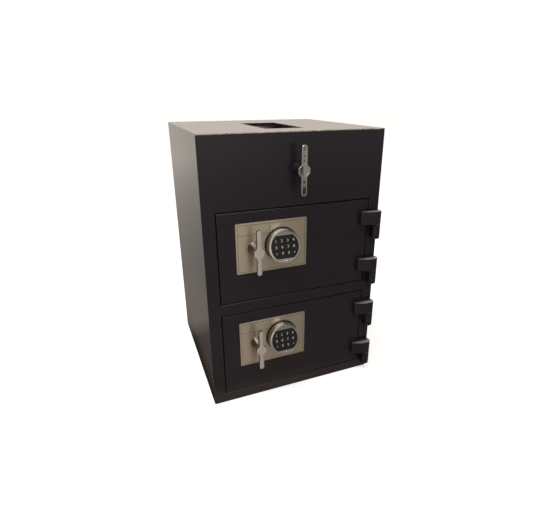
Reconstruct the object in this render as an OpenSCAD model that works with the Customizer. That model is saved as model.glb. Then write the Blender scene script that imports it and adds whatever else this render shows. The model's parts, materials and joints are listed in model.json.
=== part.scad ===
// Two-door deposit safe with a rotary hopper and two electronic keypad locks.
// X runs to the right, Y to the back, Z up. The origin is the middle of the underside.

/* [Casing] */
// Width of the casing
body_w = 508; // [500:1:530]
// Depth of the casing, front face to back
body_d = 483; // [460:1:520]
// Height of the casing
body_h = 762; // [756:1:800]
// Thickness of the casing's sheet
wall_t = 5; // [4:0.5:6]
// Thickness of the front plate
front_t = 6; // [5:0.5:7]
// Outside radius of the casing's long folds
fold_r = 3; // [1:0.5:4]
// Thickness of the shelf between the compartments
shelf_t = 5; // [4:0.5:8]
// Radius of the anchor holes in the floor
anchor_r = 7; // [5:0.5:9]
// Distance of the anchor holes across the floor
anchor_x = 380; // [300:5:420]
// Distance of the anchor holes from front to back
anchor_y = 350; // [280:5:380]

/* [Doors] */
// Width of the front plate beside the doors
stile_w = 33.5; // [32:0.5:36]
// Height of each door plate
door_h = 250; // [246:1:254]
// Thickness of each door plate
door_t = 12; // [10:0.5:14]
// Gap all round each door
door_gap = 2.5; // [2:0.1:3]
// Height of the front plate below the lower door
bottom_rail = 31; // [28:1:36]
// Height of the front plate between the doors
mid_rail = 33; // [28:1:34]
// Width of the keeper bar behind each opening's left edge
keeper_w = 24; // [18:1:26]
// Setback of the keeper bar from the opening's edge
keeper_set = 1; // [0.5:0.5:2]

/* [Hinges] */
// Distance of the pin's axis in front of the face
pin_out = 13; // [13:0.5:14]
// Distance of the pin's axis in from the casing's side
pin_in = 13; // [13:0.5:14]
// Radius of the hinge barrels
barrel_r = 12.7; // [12:0.1:12.7]
// Length of a leaf, pin to free end
leaf_w = 50; // [46:1:56]
// Height of a leaf
leaf_h = 38.5; // [37:0.5:44]
// Thickness of a leaf's free end
leaf_end = 12.5; // [10:0.5:13]
// Distance from the pin to where a leaf starts to thin
leaf_ridge = 18; // [14:1:24]
// Clearance behind the leaf where it passes over the front plate
leaf_lift = 0.5; // [0.3:0.1:1]
// Height of a post
post_h = 42.5; // [38:0.5:44]
// Width of a post from the pin towards the door
post_w = 12; // [10:0.5:13]
// Bevel on a post's front left edge
post_bevel = 6; // [4:0.5:8]
// Gap between a post and its leaf
hinge_gap = 1; // [0.5:0.1:1.5]
// Radius of a hinge pin
pin_r = 6; // [5:0.5:7]
// Depth of the pin in the post and in the leaf
pin_depth = 28; // [20:1:32]
// Foot of the lower post below the door's lower edge
hinge_drop = 7.5; // [4:0.5:10]
// Distance between a door's two hinges
hinge_pitch = 143; // [120:1:150]
// Radial clearance of a turning fit
turn_fit = 0.05; // [0.02:0.01:0.1]

/* [Lock plate] */
// Width of the lock plate
plate_w = 199; // [190:1:210]
// Height of the lock plate
plate_h = 139; // [130:1:150]
// Thickness of the lock plate
plate_t = 2; // [1:0.5:3]
// Corner radius of the lock plate
plate_r = 4; // [2:0.5:8]
// Middle of the lock plate from the door's left edge
plate_in = 145.5; // [136:0.5:154]
// Middle of the lock plate above the door's lower edge
plate_rise = 150; // [146:1:154]

/* [Keypad] */
// Middle of the keypad right of the plate's middle
pad_right = 25.5; // [20:0.5:32]
// Middle of the keypad above the plate's middle
pad_up = 3; // [0:0.5:8]
// Extra height of the lower door's keypad
low_pad_up = 4.5; // [0:0.5:6]
// Radius of the keypad housing
housing_r = 44.5; // [42:0.5:46]
// Wall of the keypad housing
housing_wall = 3; // [2:0.5:4]
// Radius and thickness of the black seal under the housing
seal_r = 47; // [45:0.5:49]
// Thickness of the black seal
seal_t = 3; // [2:0.5:5]
// How far the housing stands off the door at its top
top_depth = 20; // [18:1:26]
// How far the housing stands off the door at its bottom
bottom_depth = 42; // [38:1:46]
// Radius of the pad's round sides
pad_r = 39; // [38:0.5:40]
// Half height between the pad's flat edges
pad_flat = 31; // [28:0.5:32]
// Depth of the pad's pocket
pocket_depth = 4; // [3.8:0.1:5]
// Thickness of the pad
pad_t = 2.6; // [2:0.1:2.8]
// Width of a key
key_w = 11.5; // [9:0.5:12.5]
// Height of a key
key_h = 10.5; // [8:0.5:11.5]
// Corner radius of a key
key_r = 2.5; // [1:0.5:4]
// Distance between keys, side to side
key_dx = 16.5; // [15.5:0.1:17]
// Distance between keys, up and down
key_dy = 16.4; // [15:0.1:17]
// Travel of a key
key_travel = 1; // [0.5:0.1:1.2]
// Gap around a key
key_gap = 0.3; // [0.2:0.05:0.6]

/* [Bolt handles] */
// Spindle left of the plate's middle
handle_left = 50.5; // [46:0.5:54]
// Length of the bolt handle
handle_len = 123; // [110:1:135]
// Front face of the bolt handle in front of the door
handle_out = 47; // [42:1:50]
// Width of the bolt handle's bar beside the hub
handle_mid_w = 11; // [10:0.5:14]
// Width of the bolt handle's bar near its ends
handle_end_w = 14; // [13:0.5:17]
// Width of the bolt handle's hub
handle_hub_w = 30; // [26:1:34]
// Thickness of the handle bars
handle_t = 8; // [7:0.5:11]
// Radius of a stem at the face that it stands on
stem_foot_r = 18; // [15:0.5:20]
// Radius of a stem's neck
stem_neck_r = 11.5; // [9.5:0.5:12.5]
// Length of a stem's cone
stem_cone = 20; // [16:1:26]
// Gap behind a stem
stem_gap = 0.4; // [0.3:0.1:1]
// Radius of the spindle
spindle_r = 6; // [5:0.5:7]

/* [Boltwork] */
// Radius of a bolt
bolt_r = 11; // [10:0.5:11.5]
// Height of the lowest bolt above the door's lower edge
bolt_low = 45; // [40:1:50]
// Distance between bolts
bolt_pitch = 80; // [75:1:82]
// Travel of the bolts
bolt_throw = 20; // [16:0.5:20]
// Bolt ends inside the door's edge when drawn
bolt_inset = 2; // [2:0.5:4]
// Middle of the bolts behind the door plate
bolt_back = 14; // [12.5:0.5:16]
// Radial clearance of a bolt in its guide
bolt_fit = 0.25; // [0.1:0.05:0.4]
// Clearance of a bolt behind its keeper bar and in the cover
keeper_fit = 1; // [0.5:0.1:2]
// Thickness of the bolt guide
guide_t = 8; // [6:0.5:10]
// Setback of the bolt guide from the door's edge
guide_set = 6; // [5:0.5:8]
// Thickness of the bolt bar
bar_t = 8; // [6:0.5:8]
// Bolt bar left of the spindle
bar_left = 41; // [40:0.5:44]
// Thickness of the crank disc
crank_t = 5; // [4:0.5:6]
// Radius of the crank pin
crank_pin_r = 4; // [3:0.5:4.5]
// Clearance at the crank pin
crank_fit = 0.6; // [0.5:0.1:1]
// Thickness of the bar's tongue
tongue_t = 4; // [3:0.5:5]
// Height of the tongue
tongue_h = 32; // [30:1:34]

/* [Electronic lock] */
// Width of the lock's case
lock_w = 61; // [56:1:64]
// Height of the lock's case
lock_h = 84; // [78:1:86]
// Depth of the lock's case
lock_d = 28; // [26:1:30]
// Width of the lock's bolt
lock_bolt_w = 10; // [8:0.5:11]
// Depth of the lock's bolt
lock_bolt_d = 8; // [6:0.5:9]
// Length of the lock's bolt
lock_bolt_len = 38; // [30:1:45]
// Travel of the lock's bolt
lock_travel = 9.5; // [8:0.5:10]
// Clearance around the lock's bolt
lock_fit = 0.3; // [0.2:0.1:0.5]

/* [Back cover] */
// Depth of the cover
cover_d = 38; // [36:1:44]
// Thickness of the cover's sheet
cover_t = 1.5; // [1:0.5:2]
// Cover inside the door's edge at the bolts
cover_left = 22; // [20:1:24]
// Cover inside the door's edge at the hinges
cover_right = 40; // [36:1:60]
// Cover inside the door's lower and upper edges
cover_rim = 12; // [10:1:16]
// Radius of the screws
screw_r = 3; // [2.5:0.5:3.5]

/* [Hopper] */
// Width of the slot in the top
slot_w = 110; // [90:1:114]
// Length of the slot, front to back
slot_len = 232; // [200:1:240]
// Slot behind the front face
slot_back = 89.5; // [80:0.5:100]
// Axis of the hopper below the top
hopper_drop = 92.5; // [92:0.5:96]
// Radius of the drum
drum_r = 84; // [78:0.5:84]
// Thickness of the drum's sheet
drum_t = 3; // [2:0.5:4]
// Thickness of the drum's end discs
disc_t = 4; // [3:0.5:6]
// Drum past the slot at each end
drum_over = 10; // [8:0.5:14]
// Gap between the drum and its box
drum_gap = 4; // [3:0.5:6]
// Thickness of the box
box_t = 3; // [2:0.5:4]
// Box below the hopper's axis
box_drop = 80; // [70:1:86]
// Radius of the shaft
shaft_r = 8; // [7:0.5:9]
// Wall of the bushes
bush_wall = 4; // [3:0.5:5]
// Length of the bushes
bush_len = 12; // [10:0.5:16]
// Length of the hopper handle
hopper_len = 126; // [110:1:140]
// Front face of the hopper handle in front of the face
hopper_out = 40; // [34:1:44]
// Width of the hopper handle's bar
hopper_bar_w = 15.5; // [14:0.5:19]
// Width of the hopper handle's hub
hopper_hub_w = 32; // [29:1:38]
// Width of the raised rim on the hopper handle
rim_w = 4; // [2:0.5:5]
// Depth of the hopper handle's recess
rim_depth = 2; // [1:0.5:3]

/* [Hidden] */
SIDES = ["lower_", "upper_"];
KEYS = ["1", "2", "3", "4", "5", "6", "7", "8", "clear", "9", "0", "enter"];
DOOR_PARTS = ["door_plate", "hinge_leaves", "lock_plate", "keypad_housing", "keypad_pad",
    "lock_case", "lock_bolt", "back_cover", "screws", "handle", "spindle", "bolt_bar", "bolts"];
$fn = 96;
cut = 1; // overshoot of a cutting shape
black = "#262427";
steel = "#a9a49a";
chrome = "#c9c7c2";
brushed = "#968a78";

// Places worked out from the sizes
front_y = -body_d / 2;
back_y = body_d / 2;
inner_front = front_y + front_t;
inner_half = body_w / 2 - wall_t;
open_w = body_w - 2 * stile_w;
door_w = open_w - 2 * door_gap;
open_h = door_h + 2 * door_gap;
open_z = [bottom_rail, bottom_rail + open_h + mid_rail];
door_z = [open_z[0] + door_gap, open_z[1] + door_gap];
shelf_z = bottom_rail + open_h + (mid_rail - shelf_t) / 2;
door_back = front_y + door_t;
pin_x = body_w / 2 - pin_in;
pin_y = front_y - pin_out;
post_z = [-hinge_drop, hinge_pitch - hinge_drop];
leaf_z = [for (z = post_z) z + post_h + hinge_gap];
plate_x = plate_in - door_w / 2;
plate_face = front_y - plate_t;
handle_x = plate_x - handle_left;
pad_x = plate_x + pad_right;
pad_z = [plate_rise + pad_up + low_pad_up, plate_rise + pad_up];
tilt = atan((bottom_depth - top_depth) / (2 * housing_r));
face_y = front_y - (top_depth + bottom_depth) / 2;
front_wall = 8; // housing material behind the tilted face
cable_r = 5;
bolt_z = [for (i = [0:2]) bolt_low + i * bolt_pitch];
bolt_y = door_back + bolt_back;
bolt_tip = -door_w / 2 + bolt_inset;
bar_x = handle_x - bar_left; // right face of the bolt bar
crank_arm = bolt_throw / 2; // pin's rest place beside and below the spindle
crank_r = crank_arm * sqrt(2);
crank_edge = 3; // crank disc past its pin
crank_y = door_back + 1; // front face of the crank disc
tongue_y = bolt_y - tongue_t / 2;
tongue_top = plate_rise - crank_arm + crank_pin_r;
tongue_low = tongue_top - tongue_h;
notch_depth = lock_travel + 1;
lock_x = handle_x + crank_arm + 0.5; // middle of the lock's bolt
lock_gap = 2; // lock's case under the tongue
lock_top = tongue_low - lock_gap;
lock_screw = [lock_w / 2 - 7, 7];
dead_w = 15; // dead bar past the door's edge
dead_y = pin_y + 30;
cover_x = [-door_w / 2 + cover_left, door_w / 2 - cover_right];
cover_y = door_back + cover_d;
stud_r = 6;
stud_in = 14; // cover studs inside the cover's top and bottom
stud_x = [bar_x + 4 + stud_r, cover_x[1] - stud_in];
stud_z = [cover_rim + stud_in, door_h - cover_rim - stud_in];
hopper_z = body_h - hopper_drop;
slot_y = front_y + slot_back;
drum_y = [slot_y - drum_over, slot_y + slot_len + drum_over];
box_half = drum_r + drum_gap + box_t;
box_y = [drum_y[0] - drum_gap - box_t, drum_y[1] + drum_gap + box_t];
bush_r = shaft_r + bush_wall;
flange_r = bush_r + 5;
flange_t = 3;

// A flat outline drawn in X and Z, thick from y to y + t
module upright(y, t) translate([0, y + t, 0]) rotate([90, 0, 0]) linear_extrude(t) children();

// A round bar along Y from y0 to y1
module rod_y(r, x, z, y0, y1) translate([x, y1, z]) rotate([90, 0, 0]) cylinder(r = r, h = y1 - y0);

// A round bar along X from x0 to x1
module rod_x(r, x0, x1, y, z) translate([x0, y, z]) rotate([0, 90, 0]) cylinder(r = r, h = x1 - x0);

// A box from its lowest corner to its highest
module block(a, b) translate(a) cube(b - a);

// A rectangle with round corners, centred
module round_rect(w, h, r) {
    square([w - 2 * r, h], center = true);
    square([w, h - 2 * r], center = true);
    for (x = [-1, 1], y = [-1, 1]) translate([x * (w / 2 - r), y * (h / 2 - r)]) circle(r);
}

// Draws in the tilted face of a keypad at height z, with Z out of it
module on_face(z) translate([pad_x, face_y, z]) rotate([90 - tilt, 0, 0]) children();

module casing() {
    color(black) difference() {
        upright(inner_front, body_d - front_t) translate([0, body_h / 2]) round_rect(body_w, body_h, fold_r);
        block([-inner_half, inner_front - cut, wall_t], [inner_half, back_y - wall_t, body_h - wall_t]);
        block([-slot_w / 2, slot_y, body_h - wall_t - cut], [slot_w / 2, slot_y + slot_len, body_h + cut]);
        for (x = [-1, 1], y = [-1, 1])
            translate([x * anchor_x / 2, y * anchor_y / 2, -cut]) cylinder(r = anchor_r, h = wall_t + 2 * cut);
    }
}

module front_plate() {
    keeper_x = -open_w / 2 - keeper_set;
    color(black) difference() {
        union() {
            upright(front_y, front_t) translate([0, body_h / 2]) round_rect(body_w, body_h, fold_r);
            for (z = open_z)
                block([keeper_x - keeper_w, front_y + front_t / 2, z],
                      [keeper_x, bolt_y - bolt_r - keeper_fit, z + open_h]);
        }
        for (z = open_z)
            block([-open_w / 2, front_y - cut, z], [open_w / 2, inner_front + cut, z + open_h]);
        rod_y(bush_r, 0, hopper_z, front_y - cut, inner_front + cut);
    }
}

module shelf() {
    color(black) block([-inner_half, inner_front, shelf_z], [inner_half, back_y - wall_t, shelf_z + shelf_t]);
}

module hopper_box() {
    low = hopper_z - box_drop;
    high = body_h - wall_t;
    color("#3a3a3c") difference() {
        block([-box_half, box_y[0], low], [box_half, box_y[1], high]);
        block([-box_half + box_t, box_y[0] + box_t, low - cut], [box_half - box_t, box_y[1] - box_t, high + cut]);
        rod_y(shaft_r + 2, 0, hopper_z, box_y[0] - cut, box_y[0] + box_t + cut);
        rod_y(bush_r, 0, hopper_z, box_y[1] - box_t - cut, box_y[1] + cut);
    }
}

module bush(y, back) {
    difference() {
        union() {
            rod_y(bush_r, 0, hopper_z, y, y + bush_len);
            rod_y(flange_r, 0, hopper_z, back, back + flange_t);
        }
        rod_y(shaft_r + turn_fit, 0, hopper_z, y - cut, y + bush_len + cut);
    }
}

module hopper_bushes() {
    color("#b08d4a") {
        bush(front_y, inner_front);
        bush(box_y[1] - box_t, box_y[1]);
    }
}

module hinge_posts() {
    color(black) for (d = door_z, z = post_z) translate([pin_x, pin_y, d + z]) difference() {
        linear_extrude(post_h) {
            circle(barrel_r);
            polygon([[-post_w, pin_out], [-post_w, post_bevel - barrel_r], [post_bevel - post_w, -barrel_r],
                     [0, -barrel_r], [0, pin_out]]);
            translate([-post_w, 0]) square([post_w + barrel_r, pin_out]);
        }
        translate([0, 0, post_h - pin_depth]) cylinder(r = pin_r, h = pin_depth + cut);
    }
}

module hinge_pins() {
    color(steel) for (d = door_z, z = post_z) translate([pin_x, pin_y, d + z + post_h - pin_depth])
        cylinder(r = pin_r, h = 2 * pin_depth + hinge_gap - 1);
}

module hopper_drum() {
    color("#55555a") {
        difference() {
            rod_y(drum_r, 0, hopper_z, drum_y[0], drum_y[1]);
            rod_y(drum_r - drum_t, 0, hopper_z, drum_y[0] + disc_t, drum_y[1] - disc_t);
            block([-slot_w / 2, drum_y[0] + disc_t, hopper_z], [slot_w / 2, drum_y[1] - disc_t, hopper_z + drum_r + cut]);
            rod_y(shaft_r, 0, hopper_z, drum_y[0] - cut, drum_y[1] + cut);
        }
    }
}

module hopper_shaft() {
    color(steel) {
        rod_y(shaft_r, 0, hopper_z, front_y - hopper_out + handle_t, drum_y[0] + disc_t);
        rod_y(shaft_r, 0, hopper_z, drum_y[1] - disc_t, box_y[1] - box_t + bush_len);
    }
}

// Outline of a bar handle, drawn smaller by the inset
module bar_outline(length, mid_w, end_w, hub_w, inset) {
    end_r = end_w / 2 - inset;
    reach = length / 2 - end_w / 2;
    half_mid = mid_w / 2 - inset;
    half_hub = hub_w / 2 - inset;
    slant = half_hub * tan(22.5); // half side of the eight-sided hub
    for (s = [-1, 1]) {
        translate([0, s * reach]) circle(end_r);
        polygon([[-half_mid, 0], [half_mid, 0], [end_r, s * reach], [-end_r, s * reach]]);
    }
    polygon([for (s = [[1, 1], [-1, 1], [-1, -1], [1, -1]], k = s[0] * s[1] > 0 ? [0, 1] : [1, 0])
        k == 0 ? [s[0] * half_hub, s[1] * slant] : [s[0] * slant, s[1] * half_hub]]);
}

// A cast bar handle on its conical stem, bored for its shaft
module bar_handle(x, z, out, length, mid_w, end_w, hub_w, bore_r, foot_y) {
    bar_back = out - handle_t;
    difference() {
        union() {
            translate([x, front_y - out, z]) upright(0, handle_t) bar_outline(length, mid_w, end_w, hub_w, 0);
            translate([x, foot_y - stem_gap, z]) rotate([90, 0, 0]) {
                cylinder(r1 = stem_foot_r, r2 = stem_neck_r, h = stem_cone);
                cylinder(r = stem_neck_r, h = bar_back + (foot_y - front_y) - stem_gap + handle_t / 2);
            }
        }
        rod_y(bore_r, x, z, front_y - bar_back, front_y + cut);
    }
}

module hopper_handle() {
    color(chrome) difference() {
        bar_handle(0, hopper_z, hopper_out, hopper_len, hopper_bar_w, hopper_bar_w, hopper_hub_w, shaft_r, front_y);
        translate([0, front_y - hopper_out - cut, hopper_z]) upright(0, rim_depth + cut)
            bar_outline(hopper_len, hopper_bar_w, hopper_bar_w, hopper_hub_w, rim_w);
    }
}

module door_plate(keypad_z) {
    guide_x = -door_w / 2 + guide_set;
    color(black) difference() {
        union() {
            upright(front_y, door_t) translate([0, door_h / 2]) square([door_w, door_h], center = true);
            block([guide_x, door_back - cut, bolt_z[0] - 20],
                  [guide_x + guide_t, bolt_y + bolt_r + 3, bolt_z[2] + 20]);
            block([door_w / 2 - 28, door_back - cut, 2 * cover_rim], [door_w / 2 - 4, dead_y + 10, door_h - 2 * cover_rim]);
            block([door_w / 2 - 5, dead_y, 2 * cover_rim], [door_w / 2 + dead_w, dead_y + 10, door_h - 2 * cover_rim]);
            for (x = stud_x, z = stud_z) rod_y(stud_r, x, z, door_back - cut, cover_y - cover_t);
        }
        rod_y(spindle_r + turn_fit, handle_x, plate_rise, front_y - cut, door_back + cut);
        rod_y(cable_r, pad_x, keypad_z, front_y - cut, door_back + cut);
        for (z = bolt_z) rod_x(bolt_r + bolt_fit, guide_x - cut, guide_x + guide_t + cut, bolt_y, z);
        for (x = stud_x, z = stud_z) rod_y(screw_r, x, z, cover_y - 16, cover_y);
        for (x = [-1, 1], z = [lock_screw[1], lock_h - lock_screw[1]])
            rod_y(screw_r, lock_x + x * lock_screw[0], lock_top - z, door_back - 8, door_back + cut);
    }
}

module hinge_leaves() {
    edge = door_w / 2 - pin_x; // door's edge seen from the pin
    color(black) for (z = leaf_z) translate([pin_x, pin_y, z]) difference() {
        linear_extrude(leaf_h) {
            circle(barrel_r);
            polygon([[-leaf_w, pin_out], [-leaf_w, pin_out - leaf_end], [-leaf_ridge, -barrel_r], [0, -barrel_r],
                     [0, pin_out - leaf_lift], [edge, pin_out - leaf_lift], [edge, pin_out]]);
        }
        translate([0, 0, -cut]) cylinder(r = pin_r + turn_fit, h = pin_depth + cut);
    }
}

module lock_plate(keypad_z) {
    color(brushed) difference() {
        upright(plate_face, plate_t) translate([plate_x, plate_rise]) round_rect(plate_w, plate_h, plate_r);
        rod_y(spindle_r + 1, handle_x, plate_rise, plate_face - cut, front_y + cut);
        rod_y(cable_r, pad_x, keypad_z, plate_face - cut, front_y + cut);
    }
}

module pad_outline(r, flat) {
    intersection() {
        circle(r);
        square([2 * r + 2, 2 * flat], center = true);
    }
}

module keypad_housing(z) {
    seat = plate_face - seal_t;
    color(chrome) difference() {
        rod_y(housing_r, pad_x, z, front_y - bottom_depth - cut, seat);
        on_face(z) translate([0, 0, housing_r]) cube([3 * housing_r, 3 * housing_r, 2 * housing_r], center = true);
        on_face(z) translate([0, 0, -pocket_depth]) linear_extrude(pocket_depth + cut) pad_outline(pad_r, pad_flat);
        difference() {
            rod_y(housing_r - housing_wall, pad_x, z, front_y - bottom_depth - cut, seat + cut);
            on_face(z) translate([0, 0, housing_r - front_wall])
                cube([3 * housing_r, 3 * housing_r, 2 * housing_r], center = true);
        }
    }
}

function key_at(i) = [(i % 4 - 1.5) * key_dx, (1 - floor(i / 4)) * key_dy];

module keypad_pad(z) {
    color("#1c1a1d") {
        on_face(z) translate([0, 0, -pocket_depth]) linear_extrude(pad_t) difference() {
            pad_outline(pad_r, pad_flat);
            for (i = [0:11]) translate(key_at(i)) round_rect(key_w + 2 * key_gap, key_h + 2 * key_gap, key_r + key_gap);
        }
        difference() {
            rod_y(seal_r, pad_x, z, plate_face - seal_t, plate_face);
            rod_y(cable_r, pad_x, z, plate_face - seal_t - cut, plate_face + cut);
        }
    }
}

module key(i, z) {
    low = key_travel + 0.2 - pocket_depth;
    color("#2b282b") on_face(z) translate([key_at(i)[0], key_at(i)[1], low]) linear_extrude(-low - 0.1)
        round_rect(key_w, key_h, key_r);
}

module lock_case() {
    hole_w = lock_bolt_w + 2 * lock_fit;
    hole_d = lock_bolt_d + 2 * lock_fit;
    color("#8f8b84") difference() {
        block([lock_x - lock_w / 2, door_back, lock_top - lock_h], [lock_x + lock_w / 2, door_back + lock_d, lock_top]);
        block([lock_x - hole_w / 2, bolt_y - hole_d / 2, lock_top - lock_bolt_len - lock_fit],
              [lock_x + hole_w / 2, bolt_y + hole_d / 2, lock_top + cut]);
        for (x = [-1, 1], z = [lock_screw[1], lock_h - lock_screw[1]])
            rod_y(screw_r + 0.3, lock_x + x * lock_screw[0], lock_top - z, door_back - cut, door_back + lock_d + cut);
    }
}

module lock_bolt() {
    color(steel) block([lock_x - lock_bolt_w / 2, bolt_y - lock_bolt_d / 2, lock_top - lock_bolt_len],
                       [lock_x + lock_bolt_w / 2, bolt_y + lock_bolt_d / 2, lock_top]);
}

module back_cover() {
    color("#4a4a4c") difference() {
        block([cover_x[0], door_back, cover_rim], [cover_x[1], cover_y, door_h - cover_rim]);
        block([cover_x[0] + cover_t, door_back - cut, cover_rim + cover_t],
              [cover_x[1] - cover_t, cover_y - cover_t, door_h - cover_rim - cover_t]);
        for (z = bolt_z) rod_x(bolt_r + keeper_fit, cover_x[0] - cut, cover_x[0] + cover_t + cut, bolt_y, z);
        for (x = stud_x, z = stud_z) rod_y(screw_r + 0.3, x, z, cover_y - cover_t - cut, cover_y + cut);
    }
}

module screw(x, z, y, length) {
    rod_y(screw_r, x, z, y - length, y);
    rod_y(1.8 * screw_r, x, z, y, y + 3);
}

module screws() {
    color(steel) {
        for (x = stud_x, z = stud_z) screw(x, z, cover_y, 12);
        for (x = [-1, 1], z = [lock_screw[1], lock_h - lock_screw[1]])
            screw(lock_x + x * lock_screw[0], lock_top - z, door_back + lock_d, lock_d + 6);
    }
}

module handle() {
    color(chrome) bar_handle(handle_x, plate_rise, handle_out, handle_len, handle_mid_w, handle_end_w,
        handle_hub_w, spindle_r, plate_face);
}

module spindle() {
    color(steel) {
        rod_y(spindle_r, handle_x, plate_rise, front_y - handle_out + handle_t, crank_y + cut);
        rod_y(crank_r + crank_pin_r + crank_edge, handle_x, plate_rise, crank_y, crank_y + crank_t);
        rod_y(crank_pin_r, handle_x + crank_arm, plate_rise - crank_arm, crank_y, tongue_y + tongue_t + 2);
    }
}

module bolt_bar() {
    slot_r = crank_pin_r + crank_fit;
    slot_low = plate_rise - crank_r - slot_r;
    pitch = bolt_throw;
    color(steel) difference() {
        union() {
            block([bar_x - bar_t, bolt_y - bolt_r, bolt_z[0] - 15], [bar_x, bolt_y + bolt_r, bolt_z[2] + 15]);
            block([bar_x - cut, tongue_y, tongue_low], [lock_x + pitch + lock_bolt_w, tongue_y + tongue_t, tongue_top]);
        }
        block([handle_x + crank_arm - slot_r, tongue_y - cut, slot_low],
              [handle_x + crank_arm + slot_r, tongue_y + tongue_t + cut, tongue_top + cut]);
        for (x = [lock_x, lock_x + pitch])
            block([x - lock_bolt_w / 2 - lock_fit, tongue_y - cut, tongue_low - cut],
                  [x + lock_bolt_w / 2 + lock_fit, tongue_y + tongue_t + cut, tongue_low + notch_depth]);
    }
}

module bolts() {
    tip = 2; // chamfer of a bolt's end
    color(chrome) for (z = bolt_z) {
        rod_x(bolt_r, bolt_tip + tip, bar_x - bar_t, bolt_y, z);
        translate([bolt_tip, bolt_y, z]) rotate([0, 90, 0]) cylinder(r1 = bolt_r - tip, r2 = bolt_r, h = tip);
    }
}

casing();
front_plate();
shelf();
hopper_box();
hopper_bushes();
hinge_posts();
hinge_pins();
hopper_drum();
hopper_shaft();
hopper_handle();
for (d = [0, 1]) translate([0, 0, door_z[d]]) {
    side = SIDES[d];
    z = pad_z[d];
    door_plate(z);
    hinge_leaves();
    lock_plate(z);
    keypad_housing(z);
    keypad_pad(z);
    lock_case();
    lock_bolt();
    back_cover();
    screws();
    handle();
    spindle();
    bolt_bar();
    bolts();
    for (i = [0:11]) key(i, z);
}
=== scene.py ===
import json
import math
import bpy
import bmesh
from mathutils import Matrix, Vector

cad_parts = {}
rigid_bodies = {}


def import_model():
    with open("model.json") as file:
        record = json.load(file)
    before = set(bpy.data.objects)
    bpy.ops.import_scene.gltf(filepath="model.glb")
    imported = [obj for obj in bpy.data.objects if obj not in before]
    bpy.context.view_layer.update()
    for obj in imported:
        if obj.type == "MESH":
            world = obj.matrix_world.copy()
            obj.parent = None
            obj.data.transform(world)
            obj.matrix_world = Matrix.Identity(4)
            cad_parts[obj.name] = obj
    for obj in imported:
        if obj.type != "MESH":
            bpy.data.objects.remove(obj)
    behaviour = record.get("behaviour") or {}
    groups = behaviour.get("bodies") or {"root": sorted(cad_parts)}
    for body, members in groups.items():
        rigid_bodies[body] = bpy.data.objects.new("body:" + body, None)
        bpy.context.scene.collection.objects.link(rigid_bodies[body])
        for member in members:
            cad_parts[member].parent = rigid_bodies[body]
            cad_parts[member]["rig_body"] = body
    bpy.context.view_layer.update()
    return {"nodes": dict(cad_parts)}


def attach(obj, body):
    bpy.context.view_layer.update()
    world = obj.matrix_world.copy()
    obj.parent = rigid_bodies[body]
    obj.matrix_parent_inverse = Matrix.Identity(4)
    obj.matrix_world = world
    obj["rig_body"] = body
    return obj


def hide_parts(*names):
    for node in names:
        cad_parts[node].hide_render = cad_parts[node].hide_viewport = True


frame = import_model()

scene = bpy.context.scene
mm = 0.001
sides = ("lower", "upper")


photoView = {
    "place": (-417.9, -1181.6, 842.8),  # mm from the middle of the safe's underside
    "turnRight": 21.876, "tiltDown": 21.113, "roll": 0.02,  # degrees
    "focal": 402.2, "frame": (554, 520), "centre": (283.28, 250.77),  # pixels
    "sensor": 36,  # mm
}


def makeCamera(v):
    lens = bpy.data.cameras.new("photoCamera")
    wide, tall = v["frame"]
    lens.sensor_width = v["sensor"]
    lens.lens = v["focal"] / wide * v["sensor"]
    lens.shift_x = (wide / 2 - v["centre"][0]) / wide
    lens.shift_y = (v["centre"][1] - tall / 2) / wide
    camera = bpy.data.objects.new("photoCamera", lens)
    camera.location = Vector(v["place"]) * mm
    turn = Matrix.Rotation(math.radians(-v["turnRight"]), 4, "Z")
    tilt = Matrix.Rotation(math.radians(90 - v["tiltDown"]), 4, "X")
    camera.rotation_euler = (turn @ tilt @ Matrix.Rotation(math.radians(v["roll"]), 4, "Z")).to_euler()
    scene.collection.objects.link(camera)
    scene.camera = camera


makeCamera(photoView)
print("camera made")


class Wire:  # a node's output socket that can be used in sums

    def __init__(self, finish, socket):
        self.finish, self.socket = finish, socket

    def join(self, operation, a, b):
        return self.finish.node("Math", {"operation": operation}, {0: a, 1: b})

    def __add__(self, other): return self.join("ADD", self, other)
    def __radd__(self, other): return self.join("ADD", other, self)
    def __sub__(self, other): return self.join("SUBTRACT", self, other)
    def __rsub__(self, other): return self.join("SUBTRACT", other, self)
    def __mul__(self, other): return self.join("MULTIPLY", self, other)
    def __rmul__(self, other): return self.join("MULTIPLY", other, self)
    def __truediv__(self, other): return self.join("DIVIDE", self, other)
    def __abs__(self): return self.finish.node("Math", {"operation": "ABSOLUTE"}, {0: self})


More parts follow.
